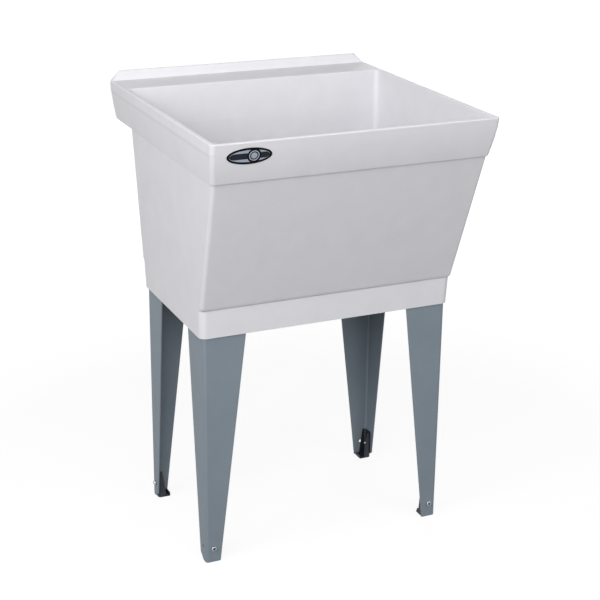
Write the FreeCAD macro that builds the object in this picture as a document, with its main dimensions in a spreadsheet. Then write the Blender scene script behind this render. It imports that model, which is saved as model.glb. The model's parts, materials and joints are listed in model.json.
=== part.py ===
# Free-standing laundry tub: a moulded shell on four folded steel legs with adjustable feet.
# Millimetres.  X runs across the width, -Y is the front, Z is up from the floor.
import FreeCAD, Part
import math
import os
import re
import Sketcher
from FreeCAD import Placement, Rotation, Vector

# Driving dimensions, one spreadsheet cell each.
DIMENSIONS = {
    # rim, lip and band
    "rim_width": 584.2,
    "rim_depth": 596.0,
    "rim_height": 903.0,
    "rim_front_corner": 9.0,
    "rim_rear_corner": 7.0,
    "rim_land": 9.6,
    "rim_rounding": 2.2,
    "mouth_rounding": 2.5,
    "lip_height": 19.0,
    "lip_blend": 6.0,
    "band_height": 78.0,
    "band_bend_drop": 43.0,
    "band_bend_side": 2.8,
    "band_bend_front": 9.2,
    "band_bend_rear": 3.5,
    "band_foot_side": 7.6,
    "band_foot_front": 20.4,
    "band_foot_rear": 11.5,
    # basin walls and floor
    "wall_thickness": 4.5,
    "wall_corner": 8.0,
    "wall_head_width": 563.8,
    "wall_head_front": 274.5,
    "wall_head_rear": 193.6,
    "wall_foot_width": 542.6,
    "wall_foot_front": 177.4,
    "wall_foot_rear": 172.3,
    "wall_foot_drop": 8.0,
    "foot_curl": 7.2,
    "foot_overhang": 2.4,
    "basin_depth": 347.0,
    "basin_corner": 10.0,
    "basin_floor_radius": 9.0,
    "floor_thickness": 6.0,
    "dish_radius": 100.0,
    "dish_depth": 3.0,
    # rear deck and splash ridge
    "deck_depth": 99.2,
    "deck_thickness": 4.5,
    "deck_corner": 8.0,
    "splash_height": 19.0,
    "splash_root": 4.0,
    "splash_foot_inset": 2.1,
    "splash_top_inset": 19.1,
    "splash_foot_thickness": 11.5,
    "splash_top_thickness": 5.5,
    "splash_corner": 2.5,
    "splash_rounding": 2.0,
    # skirt and leg sockets
    "skirt_height": 58.0,
    "skirt_thickness": 2.4,
    "skirt_corner": 14.0,
    "skirt_inner_corner": 10.0,
    "skirt_draft_side": 1.5,
    "skirt_draft_front": 3.8,
    "skirt_draft_rear": 4.7,
    "socket_ceiling": 10.0,
    "socket_pad": 3.9,
    "socket_corner_cut": 8.2,
    "rib_start": 12.0,
    "rib_length": 60.0,
    "rib_depth": 45.0,
    "rib_thickness": 3.0,
    # legs
    "leg_thickness": 2.0,
    "leg_bend": 6.0,
    "leg_foot_width": 31.2,
    "leg_head_width": 94.0,
    "leg_foot_level": 0.3,
    "leg_clearance": 0.2,
    "leg_tip_width": 16.0,
    "leg_chamfer_height": 12.0,
    "leg_hole": 6.8,
    # clamp screws and nuts
    "clamp_offset": 16.0,
    "clamp_level": 31.5,
    "screw_diameter": 6.0,
    "screw_head_diameter": 10.8,
    "screw_head_height": 5.0,
    "screw_crown_height": 2.0,
    "screw_crown_diameter": 6.4,
    "screw_end": 3.0,
    "nut_flats": 10.0,
    "nut_thickness": 5.0,
    "nut_clearance": 0.1,
    # levellers
    "leveller_width": 27.4,
    "leveller_height": 62.0,
    "leveller_thickness": 2.5,
    "leveller_bend": 7.0,
    "leveller_gap": 0.1,
    "gusset_head_depth": 9.5,
    "gusset_foot_depth": 17.0,
    "foot_plate_depth": 29.5,
    "foot_plate_corner": 3.0,
    "foot_lip_rise": 4.0,
    "slot_width": 6.8,
    "slot_slack": 0.6,
    "slot_travel": 22.0,
    # blank oval plate on the front band
    "badge_length": 87.0,
    "badge_height": 32.0,
    "badge_thickness": 0.8,
    "badge_inset": 74.1,
    "badge_drop": 26.3,
    # drain
    "drain_offset": 4.0,
    "drain_seat_drop": 5.0,
    "drain_boss_drop": 12.0,
    "drain_boss_diameter": 92.0,
    "drain_hole_clearance": 0.5,
    "flange_diameter": 78.0,
    "flange_thickness": 2.5,
    "flange_recess_clearance": 1.0,
    "shank_diameter": 47.0,
    "shank_length": 33.0,
    "drain_bore": 40.0,
    "seat_diameter": 48.0,
    "seat_foot_diameter": 42.0,
    "seat_depth": 8.0,
    "strainer_bar_width": 3.0,
    "strainer_bar_height": 5.0,
    "strainer_level": 20.0,
    "gasket_diameter": 68.0,
    "gasket_thickness": 3.0,
    "friction_washer_diameter": 66.0,
    "friction_washer_thickness": 1.5,
    "washer_clearance": 0.2,
    "locknut_diameter": 62.0,
    "locknut_thickness": 11.0,
    "locknut_lugs": 8,
    "locknut_lug_depth": 3.0,
    "locknut_lug_width": 9.0,
    "tailpiece_diameter": 38.1,
    "tailpiece_wall": 1.3,
    "tailpiece_flange_diameter": 45.6,
    "tailpiece_flange_thickness": 2.0,
    "tailpiece_length": 74.0,
    "tailpiece_neck_length": 6.0,
    "tailpiece_neck_relief": 0.2,
    "tailpiece_washer_thickness": 2.0,
    "tailpiece_nut_flats": 54.0,
    "tailpiece_nut_lip": 3.0,
    "tailpiece_nut_length": 15.0,
    # stopper
    "stopper_clearance": 0.3,
    "stopper_crown": 2.0,
    "stopper_stem_diameter": 9.0,
    "stopper_stem_height": 6.5,
    "stopper_knob_diameter": 18.0,
    "stopper_knob_height": 6.0,
    # how far a pad runs into what it joins, and a cut past what it opens
    "overlap": 0.5,
    "overrun": 1.0,
}

# Positions that follow from the driving dimensions.
DERIVED = {
    "rim_half": "rim_width / 2",
    "rim_edge": "rim_depth / 2",
    "lip_level": "rim_height - lip_height",
    "bend_level": "rim_height - band_bend_drop",
    "band_foot_level": "rim_height - band_height",
    "bend_span": "band_bend_drop * (band_height - band_bend_drop)",
    "foot_span": "band_height * (band_height - band_bend_drop)",
    "badge_lean": "band_bend_front * (band_height - 2 * badge_drop) / bend_span"
                  " + band_foot_front * (2 * badge_drop - band_bend_drop) / foot_span",
    "wall_head_half": "wall_head_width / 2",
    "wall_foot_half": "wall_foot_width / 2",
    "floor_level": "rim_height - basin_depth",
    "floor_underside": "floor_level - floor_thickness",
    "wall_foot_level": "floor_level - wall_foot_drop",
    "wall_rise": "band_foot_level - wall_foot_level",
    "front_slope": "(wall_head_front - wall_foot_front) / wall_rise",
    "front_wall": "wall_thickness * sqrt(1 + front_slope * front_slope)",
    "rear_slope": "(wall_head_rear - wall_foot_rear) / wall_rise",
    "deck_wall_slope": "(rim_edge - deck_depth + wall_thickness - wall_head_rear) / band_height",
    "skirt_level": "wall_foot_level - skirt_height",
    "skirt_front": "wall_foot_front - foot_overhang",
    "leg_x": "wall_foot_half - skirt_draft_side - skirt_thickness - socket_pad - leg_clearance",
    "leg_front": "skirt_front - skirt_draft_front - skirt_thickness - leg_clearance",
    "leg_rear": "wall_foot_rear - skirt_draft_rear - skirt_thickness - leg_clearance",
    "leg_head_level": "floor_underside - socket_ceiling",
    "leg_taper": "(leg_head_width - leg_foot_width) / (leg_head_level - leg_foot_level)",
    "rib_face": "leg_thickness + leg_clearance",
    "web_face": "leg_thickness + leveller_gap",
    "nut_face": "web_face + leveller_thickness + nut_clearance",
    "drain_seat": "floor_level - drain_seat_drop",
    "boss_foot": "floor_level - drain_boss_drop",
    "gasket_foot": "boss_foot - gasket_thickness",
    "friction_washer_foot": "gasket_foot - friction_washer_thickness",
    "locknut_foot": "friction_washer_foot - locknut_thickness",
    "shank_foot": "drain_seat - shank_length",
    "tail_flange_top": "shank_foot - tailpiece_washer_thickness",
    "tail_flange_foot": "tail_flange_top - tailpiece_flange_thickness",
    "tail_nut_foot": "tail_flange_foot - tailpiece_nut_lip",
    "tail_neck_foot": "tail_flange_foot - tailpiece_neck_length",
    "tailpiece_end": "tail_flange_foot - tailpiece_length",
}

doc = FreeCAD.newDocument("laundry_tub")
sheet = doc.addObject("Spreadsheet::Sheet", "Sizes")
NAMES = list(DIMENSIONS) + list(DERIVED)


def fill_sheet():
    for row, name in enumerate(NAMES, 1):
        text = str(DIMENSIONS[name]) if name in DIMENSIONS else "=" + DERIVED[name]
        sheet.set(f"A{row}", name)
        sheet.set(f"B{row}", text)
        sheet.setAlias(f"B{row}", name)
    doc.recompute()


def in_sheet(formula):
    """The formula with each dimension's name written as a cell of the sheet."""
    return re.sub(r"[a-z_]+", lambda word: f"Sizes.{word[0]}" if word[0] in NAMES else word[0], formula)


def size(formula):
    """The present value of a formula, in millimetres."""
    return float(sheet.evalExpression(in_sheet(formula)))


def bind(thing, path, formula):
    thing.setExpression(path, in_sheet(formula))


# ---------------------------------------------------------------- sketches

def new_body(label, place=("0", "0", "0"), turn=0.0):
    body = doc.addObject("PartDesign::Body", label)
    body.Label = label
    body.Placement = Placement(Vector(), Rotation(Vector(0, 0, 1), turn))
    for axis, formula in zip("xyz", place):
        bind(body, f"Placement.Base.{axis}", formula)
    return body


def new_sketch(body, name, plane, offset="0"):
    sketch = body.newObject("Sketcher::SketchObject", name)
    support = next(item for item in body.Origin.OriginFeatures if item.Role == plane)
    sketch.AttachmentSupport = [(support, "")]
    sketch.MapMode = "FlatFace"
    bind(sketch, "AttachmentOffset.Base.z", offset)
    return sketch


def fix(sketch, kind, geometry, formula, point=None):
    """A dimension of the sketch, tied to the sheet."""
    place = (geometry,) if point is None else (geometry, point)
    index = sketch.addConstraint(Sketcher.Constraint(kind, *place, size(formula)))
    bind(sketch, f"Constraints[{index}]", formula)


def polygon(body, name, plane, corners, offset="0"):
    """Straight-sided outline through the given corners."""
    sketch = new_sketch(body, name, plane, offset)
    points = [Vector(size(x), size(y), 0) for x, y in corners]
    count = len(points)
    for index in range(count):
        sketch.addGeometry(Part.LineSegment(points[index], points[(index + 1) % count]))
    for index in range(count):
        sketch.addConstraint(Sketcher.Constraint("Coincident", index, 2, (index + 1) % count, 1))
    for index, (x, y) in enumerate(corners):
        fix(sketch, "DistanceX", index, x, 1)
        fix(sketch, "DistanceY", index, y, 1)
    return sketch


def rectangle(body, name, plane, x_range, y_range, offset="0"):
    left, right = x_range
    low, high = y_range
    corners = [(left, low), (right, low), (right, high), (left, high)]
    return polygon(body, name, plane, corners, offset)


def circle(body, name, plane, centre, diameter, offset="0"):
    sketch = new_sketch(body, name, plane, offset)
    middle = Vector(size(centre[0]), size(centre[1]), 0)
    sketch.addGeometry(Part.Circle(middle, Vector(0, 0, 1), size(diameter) / 2))
    fix(sketch, "DistanceX", 0, centre[0], 3)
    fix(sketch, "DistanceY", 0, centre[1], 3)
    fix(sketch, "Radius", 0, f"({diameter}) / 2")
    return sketch


ROUNDING_STEPS = 3


def ring(body, name, level, half, front, rear, front_radius, rear_radius):
    """Rounded rectangle, alike left and right, at one level of a lofted shell."""
    sketch = new_sketch(body, name, "XY_Plane", level)
    x, low, high = size(half), size(front), size(rear)
    near, far = size(front_radius), size(rear_radius)
    up = Vector(0, 0, 1)
    quarter = math.pi / 2

    def side(x_from, y_from, x_to, y_to):
        sketch.addGeometry(Part.LineSegment(Vector(x_from, y_from, 0), Vector(x_to, y_to, 0)))

    def corner(x_centre, y_centre, radius, start):
        round_part = Part.Circle(Vector(x_centre, y_centre, 0), up, radius)
        sketch.addGeometry(Part.ArcOfCircle(round_part, start, start + quarter))

    side(near - x, low, x - near, low)
    corner(x - near, low + near, near, -quarter)
    side(x, low + near, x, high - far)
    corner(x - far, high - far, far, 0)
    side(x - far, high, far - x, high)
    corner(far - x, high - far, far, quarter)
    side(-x, high - far, -x, low + near)
    corner(near - x, low + near, near, 2 * quarter)
    for index in range(8):
        sketch.addConstraint(Sketcher.Constraint("Tangent", index, 2, (index + 1) % 8, 1))
    sketch.addConstraint(Sketcher.Constraint("Symmetric", 0, 1, 0, 2, -2))
    sketch.addConstraint(Sketcher.Constraint("Vertical", 2))
    sketch.addConstraint(Sketcher.Constraint("Horizontal", 4))
    sketch.addConstraint(Sketcher.Constraint("Vertical", 6))
    sketch.addConstraint(Sketcher.Constraint("Equal", 1, 7))
    sketch.addConstraint(Sketcher.Constraint("Equal", 3, 5))
    fix(sketch, "Radius", 1, front_radius)
    fix(sketch, "Radius", 3, rear_radius)
    fix(sketch, "DistanceX", 2, half, 1)
    fix(sketch, "DistanceY", 0, front, 1)
    fix(sketch, "DistanceY", 4, rear, 1)
    return sketch


def turned_over(body, name, level, outline, corners, rounding, outward=1, upward=1):
    """Rings that carry a shell round a quarter circle, ending flat at the given level.

    An outer edge draws in towards the level; a mouth (outward = -1) opens towards it.
    The rings rise to the level, or sink to it (upward = -1).
    """
    half, front, rear = outline
    rings = []
    for step in range(ROUNDING_STEPS + 1):
        angle = math.radians(90 * step / ROUNDING_STEPS)
        inset = f"{rounding} * {round(outward * (1 - math.cos(angle)), 6)}"
        drop = f"{rounding} * {round(upward * (1 - math.sin(angle)), 6)}"
        rings.append(ring(body, f"{name}{step}", f"{level} - {drop}", f"{half} - {inset}",
                          f"{front} + {inset}", f"{rear} - {inset}",
                          *(f"{corner} - {inset}" for corner in corners)))
    return rings


def upright_slot(body, name, plane, low, high, width):
    """Round-ended slot on the sketch's vertical axis, between two end centres."""
    sketch = new_sketch(body, name, plane)
    bottom, top, radius = size(low), size(high), size(width) / 2
    up = Vector(0, 0, 1)
    sketch.addGeometry(Part.ArcOfCircle(Part.Circle(Vector(0, top, 0), up, radius), 0, math.pi))
    sketch.addGeometry(Part.LineSegment(Vector(-radius, top, 0), Vector(-radius, bottom, 0)))
    lower_end = Part.Circle(Vector(0, bottom, 0), up, radius)
    sketch.addGeometry(Part.ArcOfCircle(lower_end, math.pi, 2 * math.pi))
    sketch.addGeometry(Part.LineSegment(Vector(radius, bottom, 0), Vector(radius, top, 0)))
    for index in range(4):
        sketch.addConstraint(Sketcher.Constraint("Tangent", index, 2, (index + 1) % 4, 1))
    sketch.addConstraint(Sketcher.Constraint("Equal", 0, 2))
    fix(sketch, "Radius", 0, f"({width}) / 2")
    fix(sketch, "DistanceX", 0, "0", 3)
    fix(sketch, "DistanceX", 2, "0", 3)
    fix(sketch, "DistanceY", 0, high, 3)
    fix(sketch, "DistanceY", 2, low, 3)
    return sketch


# ---------------------------------------------------------------- features

def volume_change(body, before, feature, removes):
    """Stops the build where a cut removes nothing or an addition adds nothing."""
    doc.recompute()
    after = body.Shape.Volume
    if removes and not after < before - 0.01 or not removes and not after > before + 0.01:
        raise RuntimeError(f"{body.Label}: {feature.Name} changes nothing")
    return feature


def present_volume(body):
    return 0.0 if body.Shape.isNull() else body.Shape.Volume


def loft(body, name, sections, removes=False):
    before = present_volume(body)
    kind = "PartDesign::SubtractiveLoft" if removes else "PartDesign::AdditiveLoft"
    feature = body.newObject(kind, name)
    feature.Profile = sections[0]
    feature.Sections = sections[1:]
    feature.Ruled = True
    return volume_change(body, before, feature, removes)


def pad(body, name, sketch, length, reverse=False):
    before = present_volume(body)
    feature = body.newObject("PartDesign::Pad", name)
    feature.Profile = sketch
    bind(feature, "Length", length)
    feature.Reversed = reverse
    return volume_change(body, before, feature, False)


def pocket(body, name, sketch, depth=None, reverse=False):
    """A cut of the given depth, or through everything on both sides of its sketch."""
    before = present_volume(body)
    feature = body.newObject("PartDesign::Pocket", name)
    feature.Profile = sketch
    if depth is None:
        feature.SideType = "Symmetric"
        feature.Type = "ThroughAll"
    else:
        bind(feature, "Length", depth)
        feature.Reversed = reverse
    return volume_change(body, before, feature, True)


def turned(body, name, sketch, removes=False, axis="V_Axis"):
    before = present_volume(body)
    kind = "PartDesign::Groove" if removes else "PartDesign::Revolution"
    feature = body.newObject(kind, name)
    feature.Profile = sketch
    feature.ReferenceAxis = (sketch, [axis])
    feature.Angle = 360.0
    return volume_change(body, before, feature, removes)


def mirrored(body, name, originals):
    """The same features again on the other side of the YZ plane."""
    before = present_volume(body)
    feature = body.newObject("PartDesign::Mirrored", name)
    feature.Originals = originals
    plane = next(item for item in body.Origin.OriginFeatures if item.Role == "YZ_Plane")
    feature.MirrorPlane = (plane, [""])
    body.Tip = feature
    return volume_change(body, before, feature, False)


def fillet(body, name, base, chosen, radius):
    """Rounds those edges of the base feature for which chosen(edge) is true."""
    names = [f"Edge{index}" for index, edge in enumerate(base.Shape.Edges, 1) if chosen(edge)]
    if not names:
        raise RuntimeError(f"{body.Label}: {name} finds no edge")
    feature = body.newObject("PartDesign::Fillet", name)
    feature.Base = (base, names)
    bind(feature, "Radius", radius)
    doc.recompute()
    return feature


NEAR = 0.02


def runs_along(edge, axis, x=None, y=None, z=None):
    """True for a straight edge along one axis that passes the given coordinates."""
    box = edge.BoundBox
    spans = {"x": box.XLength, "y": box.YLength, "z": box.ZLength}
    centre = {"x": box.Center.x, "y": box.Center.y, "z": box.Center.z}
    wanted = {"x": x, "y": y, "z": z}
    if spans[axis] < NEAR or any(spans[other] > NEAR for other in "xyz" if other != axis):
        return False
    return all(value is None or abs(centre[key] - value) < NEAR for key, value in wanted.items())


# ---------------------------------------------------------------- moulded shell

def slanted(head, foot, level):
    """A wall's position at a level between its head and its foot."""
    return f"({foot}) + (({head}) - ({foot})) * (({level}) - wall_foot_level) / wall_rise"


def drawn_in(drop, bend, foot):
    """How far the band has drawn in at a drop below the rim: a curve through bend and foot."""
    return (f"({drop}) * ({bend} * (band_height - ({drop})) / bend_span"
            f" + {foot} * (({drop}) - band_bend_drop) / foot_span)")


def band_front(drop):
    """The band's front face at a drop below the rim."""
    return "-(rim_edge - " + drawn_in(drop, "band_bend_front", "band_foot_front") + ")"


BAND_STEPS = 6


def bent_band(body, corners):
    """Rings up the band's soft bend, from its foot to just under the lip."""
    rings = []
    for step in range(BAND_STEPS + 1):
        drop = f"band_height - (band_height - lip_height - lip_blend) * {step} / {BAND_STEPS}"
        rings.append(ring(body, f"Band{step}", f"rim_height - ({drop})",
                          "rim_half - " + drawn_in(drop, "band_bend_side", "band_foot_side"),
                          band_front(drop),
                          "rim_edge - " + drawn_in(drop, "band_bend_rear", "band_foot_rear"),
                          *corners))
    return rings


CURL_STEPS = 3


def curled_foot(body):
    """Rings that round the wall's foot in to the skirt, from the skirt's edge upwards."""
    rings = []
    for step in range(CURL_STEPS + 1):
        angle = math.radians(90 * step / CURL_STEPS)
        level = f"wall_foot_level + foot_curl * {round(1 - math.cos(angle), 6)}"
        left = round(1 - math.sin(angle), 6)
        radius = f"wall_corner + (skirt_corner - wall_corner) * {left}"
        front = slanted("wall_head_front", "wall_foot_front", level)
        rings.append(ring(body, f"WallFoot{step}", level,
                          slanted("wall_head_half", "wall_foot_half", level),
                          f"-({front} - foot_overhang * {left})",
                          slanted("wall_head_rear", "wall_foot_rear", level), radius, radius))
    return rings


def make_tub_shell():
    body = new_body("tub_shell")
    skirt_foot_half = "wall_foot_half - skirt_draft_side"
    skirt_foot_front = "-(skirt_front - skirt_draft_front)"
    skirt_foot_rear = "wall_foot_rear - skirt_draft_rear"

    # skirt below the basin
    loft(body, "Skirt", [
        ring(body, "SkirtFoot", "skirt_level", skirt_foot_half, skirt_foot_front, skirt_foot_rear,
             "skirt_corner", "skirt_corner"),
        ring(body, "SkirtHead", "wall_foot_level", "wall_foot_half", "-skirt_front",
             "wall_foot_rear", "skirt_corner", "skirt_corner"),
    ])

    # basin wall, slanted at the front, with its foot curled under
    loft(body, "Wall", [
        *curled_foot(body),
        ring(body, "WallHead", "band_foot_level", "wall_head_half", "-wall_head_front",
             "wall_head_rear", "wall_corner", "wall_corner"),
    ])

    # turned-down band with a soft bend, and the lip that stands proud at the sides and back
    rim_corners = ("rim_front_corner", "rim_rear_corner")
    loft(body, "Band", [
        *bent_band(body, rim_corners),
        ring(body, "LipUnderside", "lip_level", "rim_half", band_front("lip_height"), "rim_edge",
             *rim_corners),
        *turned_over(body, "RimTop", "rim_height",
                     ("rim_half", band_front("rim_rounding"), "rim_edge"),
                     rim_corners, "rim_rounding"),
    ])

    # splash ridge along the rear edge, rooted in the rim
    ridge_foot_front = "rim_edge - splash_foot_thickness"
    ridge_top_front = "rim_edge - splash_top_thickness"
    ridge_corners = ("splash_corner", "splash_corner")
    loft(body, "Splash", [
        ring(body, "SplashRoot", "rim_height - splash_root", "rim_half - splash_foot_inset",
             ridge_foot_front, "rim_edge", *ridge_corners),
        ring(body, "SplashFoot", "rim_height", "rim_half - splash_foot_inset", ridge_foot_front,
             "rim_edge", *ridge_corners),
        *turned_over(body, "SplashTop", "rim_height + splash_height",
                     ("rim_half - splash_top_inset", ridge_top_front, "rim_edge"), ridge_corners,
                     "splash_rounding"),
    ])

    # basin
    inner_head_half = "wall_head_half - wall_thickness"
    basin_corners = ("basin_corner", "basin_corner")
    floor_edge = "floor_level + basin_floor_radius"
    loft(body, "Basin", [
        *reversed(turned_over(body, "BasinMouth", "rim_height",
                              ("rim_half - rim_land", "-(rim_edge - rim_land)",
                               "rim_edge - deck_depth"), basin_corners, "mouth_rounding",
                              outward=-1)),
        ring(body, "BasinShoulder", "band_foot_level", inner_head_half,
             "-(wall_head_front - front_wall)", "wall_head_rear - wall_thickness", *basin_corners),
        *turned_over(body, "BasinFloor", "floor_level", (
            slanted("wall_head_half", "wall_foot_half", floor_edge) + " - wall_thickness",
            "-(" + slanted("wall_head_front", "wall_foot_front", floor_edge) + " - front_wall)",
            slanted("wall_head_rear", "wall_foot_rear", floor_edge) + " - wall_thickness",
        ), basin_corners, "basin_floor_radius", upward=-1),
    ], removes=True)

    # hollow under the rear deck
    deck_foot = "rim_height - deck_thickness"
    band_foot_inside = ("rim_half - band_foot_side - wall_thickness",
                        "rim_edge - band_foot_rear - wall_thickness")
    deck_corners = ("deck_corner", "deck_corner")
    loft(body, "DeckHollow", [
        ring(body, "DeckHollowMouth", "band_foot_level - overrun", band_foot_inside[0],
             "wall_head_rear - rear_slope * overrun", band_foot_inside[1], *deck_corners),
        ring(body, "DeckHollowFoot", "band_foot_level", band_foot_inside[0], "wall_head_rear",
             band_foot_inside[1], *deck_corners),
        ring(body, "DeckHollowBend", "bend_level", "rim_half - band_bend_side - wall_thickness",
             "wall_head_rear + deck_wall_slope * (bend_level - band_foot_level)",
             "rim_edge - band_bend_rear - wall_thickness", *deck_corners),
        ring(body, "DeckHollowTop", deck_foot, "rim_half - wall_thickness",
             "wall_head_rear + deck_wall_slope * (band_height - deck_thickness)",
             "rim_edge - wall_thickness", *deck_corners),
    ], removes=True)

    # open space inside the skirt
    inner_corners = ("skirt_inner_corner", "skirt_inner_corner")
    loft(body, "SkirtHollow", [
        ring(body, "SkirtHollowMouth", "skirt_level", skirt_foot_half + " - skirt_thickness",
             "-(skirt_front - skirt_draft_front - skirt_thickness)",
             skirt_foot_rear + " - skirt_thickness", *inner_corners),
        ring(body, "SkirtHollowTop", "floor_underside", "wall_foot_half - skirt_thickness",
             "-(skirt_front - skirt_thickness)", "wall_foot_rear - skirt_thickness",
             *inner_corners),
    ], removes=True)

    # leg sockets: a ceiling over each leg's head, two ribs inside its flanges, a pad beside it
    for end, corner_y, inward in (("Front", "-leg_front", "+"), ("Rear", "leg_rear", "-")):
        make_sockets(body, end, corner_y, inward)

    # drain: a thick boss under the floor, a shallow dish, and a recessed through hole
    boss = circle(body, "BossCircle", "XY_Plane", ("0", "-drain_offset"), "drain_boss_diameter",
                  "boss_foot")
    pad(body, "DrainBoss", boss, "drain_boss_drop - dish_depth - overlap")
    dish = polygon(body, "DishSection", "XZ_Plane", [
        ("0", "floor_level - dish_depth"), ("dish_radius", "floor_level"), ("0", "floor_level"),
    ], "drain_offset")
    turned(body, "FloorDish", dish, removes=True)
    bore = "shank_diameter + 2 * drain_hole_clearance"
    hole_place = circle(body, "DrainPlace", "XY_Plane", ("0", "-drain_offset"), bore,
                        "floor_level")
    drain = body.newObject("PartDesign::Hole", "DrainHole")
    doc.recompute()
    before = present_volume(body)
    drain.Profile = hole_place
    drain.DepthType = "ThroughAll"
    drain.HoleCutType = "Counterbore"
    drain.HoleCutCustomValues = True
    bind(drain, "Diameter", bore)
    bind(drain, "HoleCutDiameter", "flange_diameter + 2 * flange_recess_clearance")
    bind(drain, "HoleCutDepth", "drain_seat_drop")
    volume_change(body, before, drain, True)
    return body


def make_sockets(body, end, corner_y, inward):
    corner_x = "-leg_x"
    wall_x = "-(leg_x + leg_clearance + socket_pad + skirt_thickness / 2)"
    ceiling_x = "-(wall_foot_half - skirt_thickness / 2)"
    ceiling_y = ("-(skirt_front - skirt_thickness / 2)" if inward == "+"
                 else "wall_foot_rear - skirt_thickness / 2")
    inner = "(rib_face + rib_thickness)"
    reach = "(rib_start + rib_length)"
    ceiling = polygon(body, f"{end}SocketOutline", "XY_Plane", [
        (ceiling_x, f"{ceiling_y} {inward} socket_corner_cut"),
        (f"{ceiling_x} + socket_corner_cut", ceiling_y),
        (f"{corner_x} + {reach}", ceiling_y),
        (f"{corner_x} + {reach}", f"{corner_y} {inward} {inner}"),
        (f"{corner_x} + {inner}", f"{corner_y} {inward} {inner}"),
        (f"{corner_x} + {inner}", f"{corner_y} {inward} {reach}"),
        (ceiling_x, f"{corner_y} {inward} {reach}"),
    ], "leg_head_level")
    ceiling_pad = pad(body, f"{end}SocketCeiling", ceiling, "socket_ceiling + overlap")
    across = rectangle(body, f"{end}RibAcross", "XY_Plane",
                       (f"{corner_x} + rib_start", f"{corner_x} + {reach}"),
                       (f"{corner_y} {inward} rib_face", f"{corner_y} {inward} {inner}"),
                       "leg_head_level - rib_depth")
    across_pad = pad(body, f"{end}RibAcrossPad", across, "rib_depth + overlap")
    along = rectangle(body, f"{end}RibAlong", "XY_Plane",
                      (f"{corner_x} + rib_face", f"{corner_x} + {inner}"),
                      (f"{corner_y} {inward} rib_start", f"{corner_y} {inward} {reach}"),
                      "leg_head_level - rib_depth")
    along_pad = pad(body, f"{end}RibAlongPad", along, "rib_depth + overlap")
    beside = rectangle(body, f"{end}SocketPad", "XY_Plane",
                       (wall_x, f"{corner_x} - leg_clearance"),
                       (f"{corner_y} {inward} rib_start", f"{corner_y} {inward} {reach}"),
                       "leg_head_level - rib_depth")
    beside_pad = pad(body, f"{end}SocketPadPad", beside, "rib_depth + overlap")
    mirrored(body, f"{end}SocketsMirrored", [ceiling_pad, across_pad, along_pad, beside_pad])


# ---------------------------------------------------------------- legs and their feet

# Each corner: the leg's outer corner, its turn and the plane of its flange on the tub's side,
# then the clamp screw's place and its turn.
CORNERS = {
    "front_left": (("-leg_x", "-leg_front"), 0, "YZ_Plane",
                   ("-leg_x + clamp_offset", "-leg_front"), 0),
    "front_right": (("leg_x", "-leg_front"), 90, "XZ_Plane",
                    ("leg_x - clamp_offset", "-leg_front"), 0),
    "rear_right": (("leg_x", "leg_rear"), 180, "YZ_Plane",
                   ("leg_x", "leg_rear - clamp_offset"), 90),
    "rear_left": (("-leg_x", "leg_rear"), 270, "XZ_Plane",
                  ("-leg_x", "leg_rear - clamp_offset"), -90),
}


def make_leg(label, place, turn, side_plane):
    """Folded angle leg that narrows to its foot, with a clamp hole in each flange.

    The flange on the tub's side, which lies in side_plane, has its foot's corner cut off.
    """
    body = new_body(label, (*place, "0"), turn)
    angle = pad(body, "Angle", polygon(body, "AngleSection", "XY_Plane", [
        ("0", "0"), ("leg_head_width", "0"), ("leg_head_width", "leg_thickness"),
        ("leg_thickness", "leg_thickness"), ("leg_thickness", "leg_head_width"),
        ("0", "leg_head_width"),
    ], "leg_foot_level"), "leg_head_level - leg_foot_level")
    thickness = size("leg_thickness")
    inner_fold = fillet(body, "InnerFold", angle,
                        lambda edge: runs_along(edge, "z", x=thickness, y=thickness),
                        "leg_bend - leg_thickness")
    fillet(body, "OuterFold", inner_fold, lambda edge: runs_along(edge, "z", x=0, y=0),
           "leg_bend")
    beyond = "leg_head_width + overrun"
    for plane in ("XZ_Plane", "YZ_Plane"):
        side = plane[:2]
        foot_corner = [("leg_foot_width", "leg_foot_level")]
        if plane == side_plane:
            foot_corner = [("leg_tip_width", "leg_foot_level"),
                           ("leg_foot_width + leg_taper * leg_chamfer_height",
                            "leg_foot_level + leg_chamfer_height")]
        waste = polygon(body, f"Waste{side}", plane, [
            *foot_corner, ("leg_head_width", "leg_head_level"), (beyond, "leg_head_level"),
            (beyond, "leg_foot_level"),
        ])
        pocket(body, f"TaperCut{side}", waste)
        hole = circle(body, f"ClampHole{side}", plane, ("clamp_offset", "clamp_level"),
                      "leg_hole")
        pocket(body, f"ClampHoleCut{side}", hole)
    return body


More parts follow.
